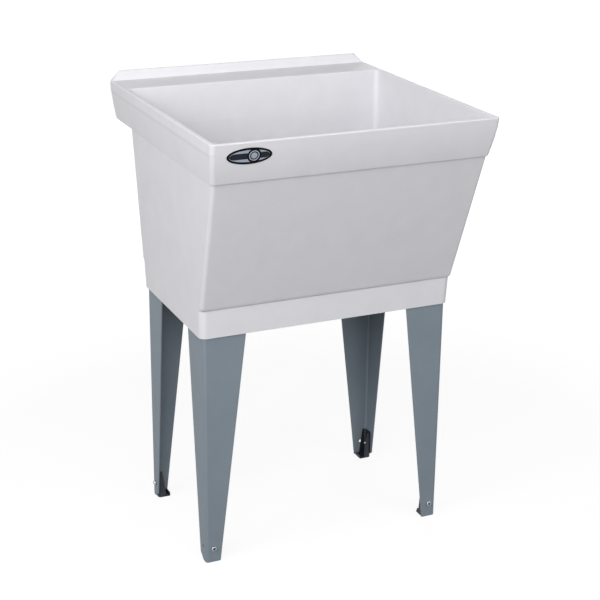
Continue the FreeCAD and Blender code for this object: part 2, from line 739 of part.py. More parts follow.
def make_leveller(label, place, turn):
    """Stamped channel with a slotted web, two tapered gussets and a turned-in foot plate."""
    body = new_body(label, (*place, "0"), turn)
    half = "leveller_width / 2"
    inner_half = "leveller_width / 2 - leveller_thickness"
    web_back = "web_face + leveller_thickness"
    gusset_foot = "web_face + gusset_foot_depth"
    channel = pad(body, "Channel", polygon(body, "ChannelSection", "XY_Plane", [
        ("-" + half, "web_face"), (half, "web_face"), (half, gusset_foot),
        (inner_half, gusset_foot), (inner_half, web_back), (f"-({inner_half})", web_back),
        (f"-({inner_half})", gusset_foot), ("-" + half, gusset_foot),
    ]), "leveller_height")
    outer, inner = size(half), size(inner_half)
    face, back = size("web_face"), size(web_back)
    inner_bends = fillet(body, "InnerBends", channel,
                         lambda edge: runs_along(edge, "z", x=inner, y=back)
                         or runs_along(edge, "z", x=-inner, y=back),
                         "leveller_bend - leveller_thickness")
    fillet(body, "OuterBends", inner_bends,
           lambda edge: runs_along(edge, "z", x=outer, y=face)
           or runs_along(edge, "z", x=-outer, y=face), "leveller_bend")
    beyond = gusset_foot + " + overrun"
    taper = polygon(body, "GussetTaper", "YZ_Plane", [
        (gusset_foot, "leveller_thickness"), (beyond, "leveller_thickness"),
        (beyond, "leveller_height"), ("web_face + gusset_head_depth", "leveller_height"),
    ])
    pocket(body, "GussetTaperCut", taper)
    slot = upright_slot(body, "SlotOutline", "XZ_Plane", "clamp_level - slot_slack",
                        "clamp_level + slot_travel + slot_slack", "slot_width")
    pocket(body, "Slot", slot)
    plate = pad(body, "FootPlate", polygon(body, "FootPlateOutline", "XY_Plane", [
        (f"leveller_bend - {half}", "web_face"), (f"{half} - leveller_bend", "web_face"),
        (half, "web_face + leveller_bend"), (half, "foot_plate_depth"),
        ("-" + half, "foot_plate_depth"), ("-" + half, "web_face + leveller_bend"),
    ]), "leveller_thickness")
    depth = size("foot_plate_depth")
    plate_corners = fillet(body, "FootPlateCorners", plate,
                           lambda edge: runs_along(edge, "z", y=depth),
                           "foot_plate_corner")
    body.Tip = plate_corners
    pad(body, "FootLip",
        rectangle(body, "FootLipOutline", "XY_Plane",
                  (f"-({half} - foot_plate_corner)", f"{half} - foot_plate_corner"),
                  ("foot_plate_depth - leveller_thickness", "foot_plate_depth"),
                  "leveller_thickness"), "foot_lip_rise")
    return body


def make_screw(label, place, turn):
    """Round-headed clamp screw, from outside the flange to past the nut."""
    body = new_body(label, (*place, "clamp_level"), turn)
    head = "screw_head_diameter / 2"
    end = "nut_face + nut_thickness + screw_end"
    profile = polygon(body, "Section", "XY_Plane", [
        ("0", "-screw_head_height"), ("screw_crown_diameter / 2", "-screw_head_height"),
        (head, "screw_crown_height - screw_head_height"), (head, "0"),
        ("screw_diameter / 2", "0"), ("screw_diameter / 2", end), ("0", end),
    ])
    turned(body, "Turned", profile)
    return body


def make_nut(label, place, turn):
    """Hexagon nut on the screw's inner end."""
    body = new_body(label, (*place, "clamp_level"), turn)
    hexagon = polygon(body, "Hexagon", "XZ_Plane", hexagon_corners("nut_flats"), "-nut_face")
    pad(body, "Nut", hexagon, "nut_thickness", reverse=True)
    bore = circle(body, "Bore", "XZ_Plane", ("0", "0"), "screw_diameter + 2 * nut_clearance")
    pocket(body, "BoreCut", bore)
    return body


def hexagon_corners(flats):
    corners = []
    for index in range(6):
        angle = math.radians(60 * index)
        reach = f"({flats}) / {math.sqrt(3)}"
        corners.append((f"{reach} * {round(math.cos(angle), 9)}",
                        f"{reach} * {round(math.sin(angle), 9)}"))
    return corners


def make_badge():
    """Blank oval plate lying on the band's leaning front."""
    body = new_body("badge_plate", ("badge_inset - rim_half", band_front("badge_drop"),
                                    "rim_height - badge_drop"))
    body.Placement = Placement(Vector(), Rotation(Vector(1, 0, 0), 1.0))
    bind(body, "Placement.Rotation.Angle", "atan(badge_lean)")
    sketch = new_sketch(body, "Oval", "XZ_Plane")
    long_half, short_half = size("badge_length / 2"), size("badge_height / 2")
    oval = Part.Ellipse(Vector(0, 0, 0), long_half, short_half)
    sketch.addGeometry(oval)
    sketch.exposeInternalGeometry(0)
    sketch.addConstraint(Sketcher.Constraint("Coincident", 0, 3, -1, 1))
    sketch.addConstraint(Sketcher.Constraint("Horizontal", 1))
    fix(sketch, "Distance", 1, "badge_length")
    fix(sketch, "Distance", 2, "badge_height")
    pad(body, "Plate", sketch, "badge_thickness")
    return body


# ---------------------------------------------------------------- drain

def make_ring(label, outer, inner, foot, thickness):
    """Flat washer on the drain's axis."""
    body = new_body(label, ("0", "-drain_offset", "0"))
    section = rectangle(body, "Section", "XZ_Plane", (f"({inner}) / 2", f"({outer}) / 2"),
                        (foot, f"{foot} + {thickness}"))
    turned(body, "Turned", section)
    return body


def make_drain_body():
    """Flanged strainer with a tapered seat, crossed bars and a threaded shank."""
    body = new_body("drain_body", ("0", "-drain_offset", "0"))
    top = "drain_seat + flange_thickness"
    section = polygon(body, "Section", "XZ_Plane", [
        ("drain_bore / 2", "shank_foot"), ("shank_diameter / 2", "shank_foot"),
        ("shank_diameter / 2", "drain_seat"), ("flange_diameter / 2", "drain_seat"),
        ("flange_diameter / 2", top), ("seat_diameter / 2", top),
        ("seat_foot_diameter / 2", f"{top} - seat_depth"),
        ("drain_bore / 2", f"{top} - seat_depth"),
    ])
    turned(body, "Turned", section)
    bar, half = "strainer_bar_width / 2", "drain_bore / 2 + overlap"
    for name, x_half, y_half in (("Across", half, bar), ("Along", bar, half)):
        outline = rectangle(body, f"Bar{name}", "XY_Plane", (f"-({x_half})", x_half),
                            (f"-({y_half})", y_half), "drain_seat - strainer_level")
        pad(body, f"Bar{name}Pad", outline, "strainer_bar_height")
    return body


def make_locknut():
    """Lugged ring nut that clamps the strainer to the floor."""
    body = new_body("drain_locknut", ("0", "-drain_offset", "0"))
    bore = "shank_diameter / 2 + washer_clearance"
    section = rectangle(body, "Section", "XZ_Plane", (bore, "locknut_diameter / 2"),
                        ("locknut_foot", "friction_washer_foot"))
    turned(body, "Turned", section)
    reach = "locknut_diameter / 2"
    lug = rectangle(body, "Lug", "XY_Plane",
                    (f"{reach} - locknut_lug_depth", f"{reach} + locknut_lug_depth"),
                    ("-locknut_lug_width / 2", "locknut_lug_width / 2"), "locknut_foot")
    lug_pad = pad(body, "LugPad", lug, "locknut_thickness")
    before = present_volume(body)
    pattern = body.newObject("PartDesign::PolarPattern", "Lugs")
    pattern.Originals = [lug_pad]
    pattern.Axis = (next(item for item in body.Origin.OriginFeatures if item.Role == "Z_Axis"), [""])
    pattern.Angle = 360.0
    bind(pattern, "Occurrences", "locknut_lugs")
    body.Tip = pattern
    volume_change(body, before, pattern, False)
    return body


def make_tailpiece():
    """Flanged outlet tube, eased where the coupling nut turns on it."""
    body = new_body("tailpiece", ("0", "-drain_offset", "0"))
    bore = "tailpiece_diameter / 2 - tailpiece_wall"
    neck = "tailpiece_diameter / 2 - tailpiece_neck_relief"
    section = polygon(body, "Section", "XZ_Plane", [
        (bore, "tailpiece_end"), ("tailpiece_diameter / 2", "tailpiece_end"),
        ("tailpiece_diameter / 2", "tail_neck_foot"), (neck, "tail_neck_foot"),
        (neck, "tail_flange_foot"),
        ("tailpiece_flange_diameter / 2", "tail_flange_foot"),
        ("tailpiece_flange_diameter / 2", "tail_flange_top"), (bore, "tail_flange_top"),
    ])
    turned(body, "Turned", section)
    return body


def make_tailpiece_nut():
    """Hexagon coupling nut whose lip lifts the tailpiece's flange."""
    body = new_body("tailpiece_nut", ("0", "-drain_offset", "0"))
    outline = polygon(body, "Hexagon", "XY_Plane", hexagon_corners("tailpiece_nut_flats"),
                      "tail_nut_foot")
    pad(body, "Nut", outline, "tailpiece_nut_length")
    tube = "tailpiece_diameter / 2 + washer_clearance"
    thread = "shank_diameter / 2 + washer_clearance"
    below = "tail_nut_foot - overrun"
    above = "tail_nut_foot + tailpiece_nut_length + overrun"
    bore = polygon(body, "BoreSection", "XZ_Plane", [
        ("0", below), (tube, below), (tube, "tail_flange_foot"), (thread, "tail_flange_foot"),
        (thread, above), ("0", above),
    ])
    turned(body, "Bore", bore, removes=True)
    return body


def make_stopper():
    """Tapered rubber plug with a mushroom pull."""
    body = new_body("stopper", ("0", "-drain_offset", "0"))
    top = "drain_seat + flange_thickness"
    crown = f"{top} + stopper_crown"
    plug_top = "seat_diameter / 2 - stopper_clearance"
    plug_foot = "seat_foot_diameter / 2 - stopper_clearance"
    stem = "stopper_stem_diameter / 2"
    knob = "stopper_knob_diameter / 2"
    plug_bottom = f"{top} - seat_depth + stopper_clearance"
    knob_foot = f"{crown} + stopper_stem_height"
    knob_top = f"{knob_foot} + stopper_knob_height"
    section = polygon(body, "Section", "XZ_Plane", [
        ("0", plug_bottom), (plug_foot, plug_bottom), (plug_top, top), (plug_top, crown),
        (stem, crown), (stem, knob_foot), (knob, knob_foot), (knob, knob_top), ("0", knob_top),
    ])
    turned(body, "Turned", section)
    return body


# ---------------------------------------------------------------- build and export

def build():
    fill_sheet()
    pieces = [make_tub_shell(), make_badge()]
    for corner, (leg_place, leg_turn, side_plane, clamp_place, clamp_turn) in CORNERS.items():
        pieces.append(make_leg(f"leg_{corner}", leg_place, leg_turn, side_plane))
        pieces.append(make_leveller(f"leveller_{corner}", clamp_place, clamp_turn))
        pieces.append(make_screw(f"leveller_screw_{corner}", clamp_place, clamp_turn))
        pieces.append(make_nut(f"leveller_nut_{corner}", clamp_place, clamp_turn))
    shank_bore = "shank_diameter + 2 * washer_clearance"
    pieces.append(make_drain_body())
    pieces.append(make_ring("drain_gasket", "gasket_diameter", shank_bore, "gasket_foot",
                            "gasket_thickness"))
    pieces.append(make_ring("drain_friction_washer", "friction_washer_diameter", shank_bore,
                            "friction_washer_foot", "friction_washer_thickness"))
    pieces.append(make_locknut())
    pieces.append(make_ring("tailpiece_washer", "tailpiece_flange_diameter",
                            "tailpiece_diameter", "tail_flange_top",
                            "tailpiece_washer_thickness"))
    pieces.append(make_tailpiece())
    pieces.append(make_tailpiece_nut())
    pieces.append(make_stopper())
    doc.recompute()
    return pieces


def check(pieces):
    for thing in doc.Objects:
        if "Invalid" in thing.State or "Error" in thing.State:
            raise RuntimeError(f"{thing.Name}: {thing.State}")
    for piece in pieces:
        if piece.Shape.isNull() or not piece.Shape.isValid() or len(piece.Shape.Solids) != 1:
            raise RuntimeError(f"{piece.Label}: not one valid solid")


def export(pieces):
    os.makedirs("parts", exist_ok=True)
    for piece in pieces:
        piece.Shape.exportStep(f"parts/{piece.Label}.step")


PIECES = build()
check(PIECES)
export(PIECES)
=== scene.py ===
import json
import math

import bmesh
import bpy
from mathutils import Matrix, Vector


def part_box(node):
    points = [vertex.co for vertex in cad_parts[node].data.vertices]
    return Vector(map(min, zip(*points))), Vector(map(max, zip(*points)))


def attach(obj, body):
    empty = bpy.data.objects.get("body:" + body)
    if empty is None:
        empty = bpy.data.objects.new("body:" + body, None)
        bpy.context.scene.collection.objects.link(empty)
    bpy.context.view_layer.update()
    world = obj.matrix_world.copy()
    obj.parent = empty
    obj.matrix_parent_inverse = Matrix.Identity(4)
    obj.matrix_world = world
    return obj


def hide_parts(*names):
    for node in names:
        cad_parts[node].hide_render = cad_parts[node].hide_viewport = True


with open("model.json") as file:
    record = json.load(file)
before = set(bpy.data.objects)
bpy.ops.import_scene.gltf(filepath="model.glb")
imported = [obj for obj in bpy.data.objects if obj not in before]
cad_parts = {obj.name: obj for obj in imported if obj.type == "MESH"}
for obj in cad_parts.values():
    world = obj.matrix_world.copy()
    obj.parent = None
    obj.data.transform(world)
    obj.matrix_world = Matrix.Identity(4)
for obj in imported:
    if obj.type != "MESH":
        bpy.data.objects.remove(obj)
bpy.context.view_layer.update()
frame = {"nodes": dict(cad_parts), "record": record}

MM = 0.001
NODES = frame["nodes"]
CORNERS = ("front_left", "front_right", "rear_right", "rear_left")


# ---------------------------------------------------------------- node helpers

def new_group(name, inputs, outputs):
    """Shader node group with named sockets; inputs are (name, kind, default)."""
    group = bpy.data.node_groups.new(name, "ShaderNodeTree")
    for label, kind, default in inputs:
        socket = group.interface.new_socket(label, in_out="INPUT", socket_type=kind)
        socket.default_value = default
    for label, kind in outputs:
        group.interface.new_socket(label, in_out="OUTPUT", socket_type=kind)
    tree = Tree(group)
    tree.ins = tree.add("NodeGroupInput").outputs
    tree.outs = tree.add("NodeGroupOutput").inputs
    return tree


class Tree:
    """A node tree with short ways to add and join nodes."""

    def __init__(self, tree):
        self.tree = tree

    def add(self, kind, **values):
        node = self.tree.nodes.new(kind)
        for name, value in values.items():
            setattr(node, name, value)
        return node

    def join(self, source, target):
        self.tree.links.new(source, target)

    def feed(self, socket, value):
        if isinstance(value, bpy.types.NodeSocket):
            self.join(value, socket)
        else:
            socket.default_value = value

    def math(self, operation, first, second=0.0, clamp=False):
        node = self.add("ShaderNodeMath", operation=operation, use_clamp=clamp)
        self.feed(node.inputs[0], first)
        self.feed(node.inputs[1], second)
        return node.outputs[0]

    def place(self, stretch=(1.0, 1.0, 1.0)):
        """Position on the object at rest, stretched along its axes."""
        node = self.add("ShaderNodeMapping")
        self.join(self.add("ShaderNodeTexCoord").outputs["Object"], node.inputs["Vector"])
        node.inputs["Scale"].default_value = stretch
        return node.outputs[0]

    def noise(self, place, scale, detail=2.0, roughness=0.5):
        node = self.add("ShaderNodeTexNoise")
        self.join(place, node.inputs["Vector"])
        self.feed(node.inputs["Scale"], scale)
        node.inputs["Detail"].default_value = detail
        node.inputs["Roughness"].default_value = roughness
        return node.outputs["Fac"]

    def spread(self, value, low, high, to_low=0.0, to_high=1.0):
        node = self.add("ShaderNodeMapRange", clamp=True)
        for name, part in zip(("Value", "From Min", "From Max", "To Min", "To Max"),
                              (value, low, high, to_low, to_high)):
            self.feed(node.inputs[name], part)
        return node.outputs["Result"]

    def mix(self, amount, first, second, blend="MIX"):
        node = self.add("ShaderNodeMix", data_type="RGBA", blend_type=blend)
        self.feed(node.inputs["Factor"], amount)
        self.feed(node.inputs["A"], first)
        self.feed(node.inputs["B"], second)
        return node.outputs["Result"]

    def group(self, tree, **values):
        node = self.add("ShaderNodeGroup", node_tree=tree.tree)
        for name, value in values.items():
            self.feed(node.inputs[name.replace("_", " ")], value)
        return node.outputs


def rgb(red, green, blue):
    """A colour given as it looks on a screen, 0 to 255, for a node's socket."""
    def linear(level):
        share = level / 255
        return share / 12.92 if share <= 0.04045 else ((share + 0.055) / 1.055) ** 2.4
    return (linear(red), linear(green), linear(blue), 1.0)


# ---------------------------------------------------------------- shared effects

def make_mottle():
    """Broad, soft patches of a slightly different tone."""
    tree = new_group("mottle", [
        ("Colour", "NodeSocketColor", (0.8, 0.8, 0.8, 1.0)), ("Scale", "NodeSocketFloat", 20.0),
        ("Amount", "NodeSocketFloat", 0.05)], [("Colour", "NodeSocketColor")])
    patches = tree.noise(tree.place(), tree.ins["Scale"], 3.0, 0.6)
    level = tree.spread(patches, 0.3, 0.7, tree.math("SUBTRACT", 1.0, tree.ins["Amount"]), 1.0)
    shade = tree.add("ShaderNodeCombineColor")
    for channel in range(3):
        tree.join(level, shade.inputs[channel])
    tree.join(tree.mix(1.0, tree.ins["Colour"], shade.outputs[0], "MULTIPLY"), tree.outs["Colour"])
    return tree


def make_speckle():
    """Fine grains: a mask for colour and a height for the relief."""
    tree = new_group("speckle", [
        ("Scale", "NodeSocketFloat", 600.0), ("Density", "NodeSocketFloat", 0.5)],
        [("Mask", "NodeSocketFloat"), ("Height", "NodeSocketFloat")])
    grains = tree.noise(tree.place(), tree.ins["Scale"], 2.0, 0.7)
    threshold = tree.math("SUBTRACT", 0.75, tree.math("MULTIPLY", tree.ins["Density"], 0.3))
    tree.join(tree.spread(grains, threshold, tree.math("ADD", threshold, 0.12)),
              tree.outs["Mask"])
    tree.join(grains, tree.outs["Height"])
    return tree


def make_edge_wear_and_highlight():
    """Mask of the outward edges, broken up by noise, for worn edges and for a painted edge
    highlight.
    """
    tree = new_group("edge_wear_and_highlight", [
        ("Width", "NodeSocketFloat", 0.001), ("Amount", "NodeSocketFloat", 0.5),
        ("Scale", "NodeSocketFloat", 80.0)], [("Mask", "NodeSocketFloat")])
    bevel = tree.add("ShaderNodeBevel", samples=6)
    tree.join(tree.ins["Width"], bevel.inputs["Radius"])
    turn = tree.add("ShaderNodeVectorMath", operation="DOT_PRODUCT")
    tree.join(bevel.outputs[0], turn.inputs[0])
    tree.join(tree.add("ShaderNodeNewGeometry").outputs["Normal"], turn.inputs[1])
    edge = tree.spread(turn.outputs["Value"], 0.99, 0.8)
    breaks = tree.spread(tree.noise(tree.place(), tree.ins["Scale"], 4.0, 0.65), 0.42, 0.62)
    worn = tree.math("MULTIPLY", edge, breaks)
    tree.join(tree.math("MULTIPLY", worn, tree.ins["Amount"], clamp=True), tree.outs["Mask"])
    return tree


def make_streaks():
    """Thin lines that run along Z, as rolling or drawing leaves them."""
    tree = new_group("streaks", [("Scale", "NodeSocketFloat", 200.0)],
                     [("Mask", "NodeSocketFloat")])
    lines = tree.noise(tree.place((1.0, 1.0, 0.02)), tree.ins["Scale"], 3.0, 0.6)
    tree.join(tree.spread(lines, 0.35, 0.65), tree.outs["Mask"])
    return tree


# Vertex attribute that says how deep a point lies in a recess, from 0 to 1; the plated finish
# paints shade there by it.
HOLLOW = "hollow"

MOTTLE = make_mottle()
SPECKLE = make_speckle()
EDGE_WEAR_AND_HIGHLIGHT = make_edge_wear_and_highlight()
STREAKS = make_streaks()


# ---------------------------------------------------------------- finishes

def new_material(name, roughness, metallic=0.0, coat=0.0, coat_roughness=0.1, specular=0.5):
    """Material with a Principled surface; returns the material, its tree and the shader."""
    material = bpy.data.materials.new(name)
    material.use_nodes = True
    tree = Tree(material.node_tree)
    shader = next(node for node in tree.tree.nodes if node.type == "BSDF_PRINCIPLED")
    for socket, value in (("Roughness", roughness), ("Metallic", metallic),
                          ("Coat Weight", coat), ("Coat Roughness", coat_roughness),
                          ("Specular IOR Level", specular)):
        shader.inputs[socket].default_value = value
    return material, tree, shader


def relief(tree, shader, height, strength, distance):
    """Gives the shader a bump from a height."""
    bump = tree.add("ShaderNodeBump")
    bump.inputs["Strength"].default_value = strength
    bump.inputs["Distance"].default_value = distance
    tree.join(height, bump.inputs["Height"])
    tree.join(bump.outputs[0], shader.inputs["Normal"])


def moulded_shell():
    """Satin white moulding compound, faintly mottled, with a fine pebbled skin and a painted
    highlight along its edges.
    """
    material, tree, shader = new_material("moulded_shell", 0.5, specular=0.35)
    tone = tree.group(MOTTLE, Colour=rgb(222, 222, 226), Scale=26.0, Amount=0.035)["Colour"]
    grains = tree.group(SPECKLE, Scale=520.0, Density=0.35)
    colour = tree.mix(tree.math("MULTIPLY", grains["Mask"], 0.10), tone, rgb(198, 198, 203))
    # painted highlight: the outward edges are lightened in the colour
    painted_edge_highlight = tree.group(EDGE_WEAR_AND_HIGHLIGHT, Width=2.5 * MM, Amount=0.3, Scale=30.0)["Mask"]
    tree.join(tree.mix(painted_edge_highlight, colour, rgb(226, 226, 229)), shader.inputs["Base Color"])
    gloss = tree.noise(tree.place(), 14.0, 3.0)
    tree.join(tree.spread(gloss, 0.3, 0.7, 0.46, 0.58), shader.inputs["Roughness"])
    relief(tree, shader, grains["Height"], 0.12, 0.15 * MM)
    return material


def leg_paint():
    """Blue-grey baked enamel on folded sheet steel."""
    material, tree, shader = new_material("leg_paint", 0.45, specular=0.15)
    tone = tree.group(MOTTLE, Colour=rgb(130, 141, 151), Scale=9.0, Amount=0.08)["Colour"]
    drawn = tree.group(STREAKS, Scale=160.0)["Mask"]
    colour = tree.mix(tree.math("MULTIPLY", drawn, 0.05), tone, rgb(130, 140, 148))
    worn = tree.group(EDGE_WEAR_AND_HIGHLIGHT, Width=0.9 * MM, Amount=0.5, Scale=60.0)["Mask"]
    tree.join(tree.mix(worn, colour, rgb(158, 166, 172)), shader.inputs["Base Color"])
    peel = tree.noise(tree.place(), 420.0, 2.0)
    tree.join(tree.spread(peel, 0.3, 0.7, 0.40, 0.52), shader.inputs["Roughness"])
    relief(tree, shader, peel, 0.08, 0.1 * MM)
    return material


def foot_steel():
    """Near-black oiled steel of the stamped feet, bright where edges have rubbed."""
    material, tree, shader = new_material("foot_steel", 0.45, metallic=0.55)
    tone = tree.group(MOTTLE, Colour=rgb(52, 56, 62), Scale=60.0, Amount=0.35)["Colour"]
    worn = tree.group(EDGE_WEAR_AND_HIGHLIGHT, Width=0.6 * MM, Amount=0.7, Scale=140.0)["Mask"]
    tree.join(tree.mix(worn, tone, rgb(128, 132, 136)), shader.inputs["Base Color"])
    scale = tree.noise(tree.place(), 300.0, 4.0, 0.7)
    tree.join(tree.spread(scale, 0.3, 0.7, 0.36, 0.58), shader.inputs["Roughness"])
    relief(tree, shader, scale, 0.2, 0.1 * MM)
    return material


def plated(name, colour, dark, roughness):
    """Plated or polished metal with faint turning marks, a dull bloom and painted shade in its
    recesses.
    """
    material, tree, shader = new_material(name, roughness, metallic=1.0)
    bloom = tree.spread(tree.noise(tree.place(), 240.0, 4.0, 0.7), 0.35, 0.7)
    worn = tree.group(EDGE_WEAR_AND_HIGHLIGHT, Width=0.3 * MM, Amount=0.6, Scale=300.0)["Mask"]
    tone = tree.mix(tree.math("MULTIPLY", bloom, 0.45), colour, dark)
    # painted shade: the recess depth darkens the tone towards near-black, deep in slots such as
    # the screws' cross recess
    painted_recess_shade = tree.add("ShaderNodeAttribute", attribute_name=HOLLOW).outputs["Fac"]
    tone = tree.mix(painted_recess_shade, tone, rgb(26, 27, 29))
    tree.join(tree.mix(worn, tone, rgb(240, 240, 238)), shader.inputs["Base Color"])
    tree.join(tree.spread(bloom, 0.0, 1.0, roughness - 0.06, roughness + 0.12),
              shader.inputs["Roughness"])
    relief(tree, shader, tree.noise(tree.place((0.2, 0.2, 6.0)), 500.0, 2.0), 0.1, 0.05 * MM)
    return material


def rubber(name, colour, dust):
    """Matte rubber or pressed fibre with pale dust in its pores."""
    material, tree, shader = new_material(name, 0.72, specular=0.35)
    tone = tree.group(MOTTLE, Colour=colour, Scale=90.0, Amount=0.2)["Colour"]
    grains = tree.group(SPECKLE, Scale=1400.0, Density=0.6)
    tree.join(tree.mix(tree.math("MULTIPLY", grains["Mask"], 0.35), tone, dust),
              shader.inputs["Base Color"])
    tree.join(tree.spread(grains["Height"], 0.3, 0.7, 0.62, 0.82), shader.inputs["Roughness"])
    relief(tree, shader, grains["Height"], 0.3, 0.1 * MM)
    return material


def white_plastic(name, colour):
    """Moulded white plastic with a faint flow pattern."""
    material, tree, shader = new_material(name, 0.38, coat=0.1, coat_roughness=0.2)
    tone = tree.group(MOTTLE, Colour=colour, Scale=45.0, Amount=0.06)["Colour"]
    worn = tree.group(EDGE_WEAR_AND_HIGHLIGHT, Width=0.5 * MM, Amount=0.4, Scale=120.0)["Mask"]
    tree.join(tree.mix(worn, tone, rgb(244, 244, 242)), shader.inputs["Base Color"])
    flow = tree.noise(tree.place((1.0, 1.0, 0.3)), 160.0, 3.0)
    tree.join(tree.spread(flow, 0.3, 0.7, 0.32, 0.46), shader.inputs["Roughness"])
    relief(tree, shader, flow, 0.08, 0.1 * MM)
    return material


def enamel(name, colour, flecks, specular=0.4):
    """Glossy stoved enamel with fine flecks, rubbed along its raised edges."""
    material, tree, shader = new_material(name, 0.35, specular=specular)
    tone = tree.group(MOTTLE, Colour=colour, Scale=120.0, Amount=0.12)["Colour"]
    grains = tree.group(SPECKLE, Scale=2200.0, Density=0.35)
    tone = tree.mix(tree.math("MULTIPLY", grains["Mask"], 0.25), tone, flecks)
    worn = tree.group(EDGE_WEAR_AND_HIGHLIGHT, Width=0.25 * MM, Amount=0.2, Scale=400.0)["Mask"]
    tree.join(tree.mix(worn, tone, rgb(150, 154, 160)), shader.inputs["Base Color"])
    relief(tree, shader, grains["Height"], 0.1, 0.05 * MM)
    return material


FINISHES = {
    "moulded_shell": moulded_shell(),
    "leg_steel": leg_paint(),
    "leveller_steel": foot_steel(),
    "zinc_steel": plated("zinc_plate", rgb(188, 193, 197), rgb(128, 136, 142), 0.24),
    "drain_steel": plated("drain_steel", rgb(206, 206, 204), rgb(160, 160, 158), 0.2),
    "rubber_seal": rubber("rubber_seal", rgb(36, 36, 38), rgb(92, 92, 92)),
    "stopper_rubber": rubber("stopper_rubber", rgb(44, 44, 46), rgb(104, 104, 102)),
    "fibre_washer": rubber("fibre_washer", rgb(164, 136, 98), rgb(196, 176, 146)),
    "nut_plastic": white_plastic("nut_plastic", rgb(222, 222, 218)),
    "outlet_plastic": white_plastic("outlet_plastic", rgb(228, 228, 226)),
    "name_plate": enamel("dark_enamel", rgb(9, 10, 12), rgb(26, 28, 31), 0.06),
}


def dress_nodes():
    """Gives each node the finish of its material slot."""
    for row in frame["record"]["subparts"]:
        node = NODES[row["node"]]
        node.data.materials.clear()
        node.data.materials.append(FINISHES[row["material_slot"]])


dress_nodes()
PALE_ENAMEL = enamel("pale_enamel", rgb(160, 170, 186), rgb(130, 140, 156))
WHITE_ENAMEL = enamel("white_enamel", rgb(182, 188, 198), rgb(150, 158, 170))
BAND_ENAMEL = enamel("band_enamel", rgb(34, 38, 46), rgb(64, 70, 80), 0.1)


# ---------------------------------------------------------------- meshes through rings

# Points in a ring, and the angle between two faces from which their edge stays sharp.
AROUND = 64
SHARP_FROM = math.radians(38)


def rounded(points, radius, steps=3):
    """Open outline with each inner corner turned into a short arc."""
    most = 0.45
    line = [Vector(points[0])]
    for before, corner, after in zip(points, points[1:], points[2:]):
        before, corner, after = Vector(before), Vector(corner), Vector(after)
        reach = min(radius, (corner - before).length * most, (after - corner).length * most)
        start = corner + (before - corner).normalized() * reach
        end = corner + (after - corner).normalized() * reach
        for step in range(steps + 1):
            along = step / steps
            line.append(start * (1 - along) ** 2 + corner * 2 * along * (1 - along)
                        + end * along ** 2)
    line.append(Vector(points[-1]))
    return line


def turned_rings(outline, reach=None, around=AROUND):
    """Rings about the upright axis; reach(angle, radius) may change the radius."""
    rings = []
    for radius, height in outline:
        if radius == 0:
            rings.append([Vector((0.0, 0.0, height))])
            continue
        ring = []
        for step in range(around):
            angle = math.tau * step / around
            out = reach(angle, radius) if reach else radius
            ring.append(Vector((out * math.cos(angle), out * math.sin(angle), height)))
        rings.append(ring)
    return rings


def thread_rings(radius, depth, pitch, low, high, around=AROUND, rows=5):
    """Rings of a helical thread whose crests keep to the radius."""
    rings = []
    count = max(1, round((high - low) / pitch * rows))
    for row in range(count + 1):
        height = low + (high - low) * row / count
        fade = min(1.0, (height - low) / pitch, (high - height) / pitch)
        ring = []
        for step in range(around):
            angle = math.tau * step / around
            turn = ((height - low) / pitch - step / around) % 1.0
            out = radius - depth * fade * abs(2 * turn - 1)
            ring.append(Vector((out * math.cos(angle), out * math.sin(angle), height)))
        rings.append(ring)
    return rings


def add_rings(form, rings, closed=False, hollow=None):
    """Joins the rings with faces; a ring of one point closes an end."""
    layer = form.verts.layers.float.new(HOLLOW) if hollow else None
    rows = [[form.verts.new(point) for point in ring] for ring in rings]
    if hollow:
        for vertex in form.verts:
            vertex[layer] = hollow(vertex.co)
    if closed:
        rows.append(rows[0])
    for first, second in zip(rows, rows[1:]):
        count = max(len(first), len(second))
        for step in range(count):
            ahead = (step + 1) % count
            form.faces.new(dict.fromkeys((
                first[step % len(first)], first[ahead % len(first)],
                second[ahead % len(second)], second[step % len(second)])))


def add_bar(form, sections):
    """A bar through its sections, closed at each end on the section's middle."""
    ends = [sum(section, Vector()) / len(section) for section in (sections[0], sections[-1])]
    add_rings(form, [[ends[0]], *sections, [ends[1]]])


def make_piece(name, form, place, material, body, nodes=()):
    """Turns a form drawn in millimetres into a piece in its place."""
    bmesh.ops.recalc_face_normals(form, faces=form.faces)
    bmesh.ops.transform(form, matrix=place @ Matrix.Scale(MM, 4), verts=form.verts)
    for face in form.faces:
        face.smooth = True
    for edge in form.edges:
        edge.smooth = edge.calc_face_angle(0.0) < SHARP_FROM
    mesh = bpy.data.meshes.new(name)
    form.to_mesh(mesh)
    form.free()
    mesh.materials.append(material)
    piece = bpy.data.objects.new(name, mesh)
    bpy.context.scene.collection.objects.link(piece)
    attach(piece, body)
    if nodes:
        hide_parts(*nodes)


# ---------------------------------------------------------------- oval name plate

# Half of the plate's length and height, its thickness and the width of its rim.
PLATE_LONG, PLATE_SHORT, PLATE_THICK = 43.5, 16.0, 0.8
PLATE_RIM = 4.2

# Half height and face of the plain bands, and the sections along each.
BAND_HALF, BAND_FACE = 5.9, 0.6
BAND_SECTIONS = 8

# The medallion's place along the plate and the ring's outer and inner radius.
MEDALLION = (9.0, 13.5, 9.9)
RING_FACE = 0.78


def plate_place():
    """Local X along the plate, Y up it and Z out of it, from the middle of its back."""
    mesh = NODES["badge_plate"].data
    out = Vector((0.0, 0.0, 0.0))
    for face in mesh.polygons:
        if face.normal.y < -0.5:
            out += face.normal * face.area
    out.normalize()
    along = Vector((1.0, 0.0, 0.0))
    up = out.cross(along)
    low, high = (Vector(corner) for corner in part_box("badge_plate"))
    back = min(vertex.co.dot(out) for vertex in mesh.vertices)
    middle = (low + high) / 2
    middle += out * (back - middle.dot(out))
    return Matrix.Translation(middle) @ Matrix((along, up, out)).transposed().to_4x4()


